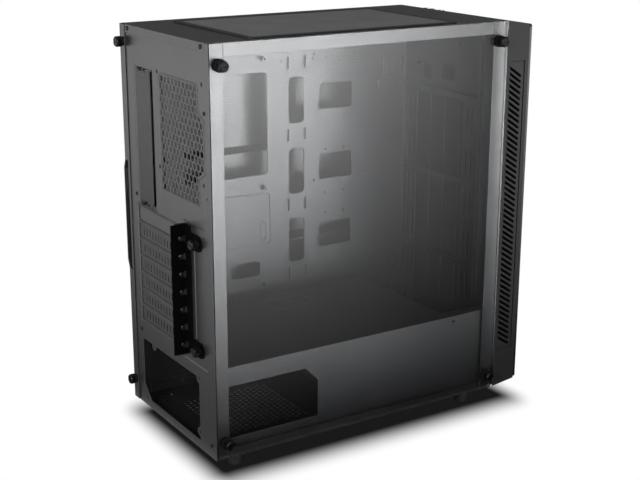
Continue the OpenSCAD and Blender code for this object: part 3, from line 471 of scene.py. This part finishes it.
# the camera's place mirrored in the glass, and in the rear sheet, seen from above
GLASS_MIRROR = (0.993, 0.770)
REAR_MIRROR = (-1.1987, -0.3631)
# share of the glass card that the glass's own faces mirror, and where along it the front panel's
# side takes over, with that side's share
VEIL = 0.20
PANEL_SIDE = (-0.872, -0.858)
PANEL_SHARE = 1.3
# transmissions on the way to a card: up to 2 off the glass itself, 4 off the steel behind it
OFF_STEEL = (2.4, 2.6)


def seen(tree):
    """1 where the eye, a mirror or glass looks at the surface, and 0 where it only lights."""
    path = node(tree, "LightPath")
    direct = math_node(tree, "MAXIMUM", path.outputs["Is Camera Ray"],
                       path.outputs["Is Glossy Ray"])
    return math_node(tree, "MAXIMUM", direct, path.outputs["Is Transmission Ray"])


def softbox(name, at, towards, width, height, watts):
    """A rectangular lamp that faces a point."""
    lamp = bpy.data.lights.new(name, "AREA")
    lamp.shape = "RECTANGLE"
    lamp.size = width
    lamp.size_y = height
    lamp.energy = watts
    made = bpy.data.objects.new(name, lamp)
    made.location = at
    made.rotation_euler = (Vector(towards) - Vector(at)).to_track_quat("-Z", "Y").to_euler()
    made.visible_camera = False
    bpy.context.scene.collection.objects.link(made)
    return made


def card(name, corners, finish):
    """A flat card just over the floor through four corners, seen only in reflections."""
    mesh = bpy.data.meshes.new(name)
    mesh.from_pydata([(x, y, CARD_HEIGHT) for x, y in corners], [], [(0, 1, 2, 3)])
    mesh.materials.append(finish)
    made = bpy.data.objects.new(name, mesh)
    bpy.context.scene.collection.objects.link(made)
    return reflected_only(made)


def reflected_only(made):
    """Keeps a studio piece out of everything but reflections."""
    for ray in ("camera", "diffuse", "volume_scatter", "shadow"):
        setattr(made, "visible_" + ray, False)
    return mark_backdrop(made)


def studio_world():
    """White to look at, and a mild even light on the case."""
    world = bpy.data.worlds.new("studio")
    bpy.context.scene.world = world
    world.use_nodes = True
    tree = world.node_tree
    strength = spread(tree, seen(tree), 0, 1, WORLD_LIGHT, 1.0)
    background = tree.nodes["Background"]
    background.inputs["Color"].default_value = (1, 1, 1, 1)
    tree.links.new(strength, background.inputs["Strength"])


def painted_contact_shadow(tree):
    """A painted contact shadow: how light the floor's glow is painted round the standing case, from
    its distance q out of a rectangle a little inside the outline: 1 - (1 - q)^2, to the power 2.2,
    and white from q = 1 on. It comes from the floor's own place, not from the lamps."""
    low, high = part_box("floor_pan")
    low[1], high[1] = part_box("front_face")[0][1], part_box("side_glass")[1][1]
    place = node(tree, "SeparateXYZ", {0: node(tree, "TexCoord").outputs["Object"]})
    squares = []
    for axis, inset, reach in PAINTED_SHADOW_EDGES:
        middle, half = 0.5 * (low[axis] + high[axis]), 0.5 * (high[axis] - low[axis]) - inset
        off = math_node(tree, "ABSOLUTE", math_node(tree, "SUBTRACT", place.outputs[axis], middle))
        out = spread(tree, off, half, half + 2 * reach, 0.0, 2.0)
        squares.append(math_node(tree, "MULTIPLY", out, out))
    q = math_node(tree, "SQRT", math_node(tree, "ADD", *squares))
    rest = math_node(tree, "SUBTRACT", 1.0, q, True)
    light = math_node(tree, "SUBTRACT", 1.0, math_node(tree, "MULTIPLY", rest, rest))
    return math_node(tree, "MAXIMUM", math_node(tree, "POWER", light, 2.2), 0.01)


def studio_floor():
    """A wide white floor whose glow carries a painted contact shadow round the case."""
    mesh = bpy.data.meshes.new("floor")
    square = ((-1, -1), (1, -1), (1, 1), (-1, 1))
    corners = [(x * FLOOR_REACH, y * FLOOR_REACH, 0) for x, y in square]
    mesh.from_pydata(corners, [], [(0, 1, 2, 3)])
    floor = bpy.data.objects.new("floor", mesh)
    bpy.context.scene.collection.objects.link(floor)
    finish = bpy.data.materials.new("floor")
    finish.use_nodes = True
    tree = finish.node_tree
    tree.nodes.remove(tree.nodes["Principled BSDF"])
    # painted contact shadow: the floor's glow is darkened round the case by this, not by a shadow
    # the lamps cast
    shade = painted_contact_shadow(tree)
    bright = node(tree, "Emission", {"Strength": shade})
    matt = node(tree, "BsdfDiffuse", {"Color": (MATT_FLOOR, MATT_FLOOR, MATT_FLOOR, 1)})
    both = node(tree, "MixShader", {0: seen(tree), 1: matt.outputs[0], 2: bright.outputs[0]})
    tree.links.new(both.outputs[0], tree.nodes["Material Output"].inputs["Surface"])
    mesh.materials.append(finish)
    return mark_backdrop(floor)


def emitter(name):
    """A glowing material without its light: its tree, the place on the piece, and a call that sets
    the light's strength and gives the material back. It is met only by reflected rays, and isn't
    picked as a lamp."""
    made = bpy.data.materials.new(name)
    made.use_nodes = True
    tree = made.node_tree
    tree.nodes.remove(tree.nodes["Principled BSDF"])
    place = node(tree, "TexCoord").outputs["Object"]

    def shine(strength):
        glowing = node(tree, "Emission", {"Strength": strength})
        tree.links.new(glowing.outputs[0], tree.nodes["Material Output"].inputs["Surface"])
        made.cycles.emission_sampling = "NONE"
        return made
    return tree, place, shine


def floor_light(name, out, across, origin, rise, side, low, high, power, edge):
    """Light on the floor beside one face of the case. Along the axis out it grows from low by high
    times the given power of 1 - rise / distance from the origin, so that the face shows it growing
    evenly upwards; along the axis across it falls to edge where the line from the origin passes
    side[0] to side[1]. Beside the glass, the glass's own mirror image of it is dimmed to VEIL, and
    what steel shows through the glass is not."""
    tree, place, shine = emitter(name)
    parts = node(tree, "SeparateXYZ", {0: place})
    far = math_node(tree, "ABSOLUTE", math_node(tree, "SUBTRACT", parts.outputs[out], origin[out]))
    away = math_node(tree, "SUBTRACT", parts.outputs[across], origin[across])
    height = math_node(tree, "SUBTRACT", 1.0, math_node(tree, "DIVIDE", rise, far))
    slope = math_node(tree, "DIVIDE", away, far)
    up = math_node(tree, "POWER", spread(tree, height, 0.035, 0.746, 0.0, 1.0), power)
    up = math_node(tree, "ADD", math_node(tree, "MULTIPLY", up, high), low)
    along = node(tree, "MapRange", {0: slope, 1: side[0], 2: side[1], 3: 1.0, 4: edge},
                 interpolation_type="SMOOTHSTEP", clamp=True).outputs[0]
    light = math_node(tree, "MULTIPLY", up, along)
    if out == 0:
        passed = node(tree, "LightPath").outputs["Transmission Depth"]
        behind = spread(tree, passed, *OFF_STEEL, 0.0, 1.0)
        mirror = spread(tree, slope, *PANEL_SIDE, PANEL_SHARE, VEIL)
        share = math_node(tree, "MAXIMUM", mirror, behind)
        light = math_node(tree, "MULTIPLY", light, share)
    return shine(light)


def studio_dome(dim):
    """The dim walls of the studio, with a paler zone overhead at the rear: a half sphere on which a
    point at turn u and height v lies at 6 m times (cos v cos u, cos v sin u, sin v)."""
    u, v = np.meshgrid(np.linspace(0, 2 * np.pi, DOME_TURNS + 1)[:-1],
                       np.linspace(0.0, 0.5 * np.pi, DOME_RISES + 1))
    points = DOME_RADIUS * np.stack([np.cos(v) * np.cos(u), np.cos(v) * np.sin(u), np.sin(v)], -1)
    row, turn = np.arange(DOME_RISES)[:, None] * DOME_TURNS, np.arange(DOME_TURNS)
    start, after = (row + turn).ravel(), (row + (turn + 1) % DOME_TURNS).ravel()
    faces = np.stack([start, after, after + DOME_TURNS, start + DOME_TURNS], -1)
    mesh = bpy.data.meshes.new("studio_dome")
    mesh.from_pydata(points.reshape(-1, 3).tolist(), [], faces.tolist())
    tree, place, shine = emitter("studio_dome")
    rearwards_up = {0: place, 1: (-0.05, 0.12, 0.10)}
    level = node(tree, "VectorMath", rearwards_up, operation="DOT_PRODUCT").outputs["Value"]
    mesh.materials.append(shine(spread(tree, level, 0.2, 0.9, dim, 0.9)))
    made = bpy.data.objects.new("studio_dome", mesh)
    bpy.context.scene.collection.objects.link(made)
    return reflected_only(made)


studio_world()
studio_floor()
softbox("key", at=(-0.9, 2.1, 1.0), towards=(0, 0.2, 0.35), width=1.2, height=0.7, watts=26)
softbox("fill", at=(-1.6, 0.7, 0.62), towards=(0, 0, 0.35), width=0.7, height=0.4, watts=5)
card("glass_sheen", ((-0.12, -6.0), (-0.12, 1.5), (-6.0, 1.5), (-6.0, -6.0)),
     floor_light("glass_sheen", out=0, across=1, origin=GLASS_MIRROR, rise=1.096,
                 side=(-0.59, -0.89), low=0.0, high=21.5, power=1.7, edge=0.16))
card("rear_sheen", ((-1.0, 0.22), (7.0, 0.22), (7.0, 5.0), (-1.0, 5.0)),
     floor_light("rear_sheen", out=1, across=0, origin=REAR_MIRROR, rise=0.5667,
                 side=(1.5, 2.5), low=0.1, high=2.1, power=1.6, edge=0.45))
studio_dome(dim=0.12)
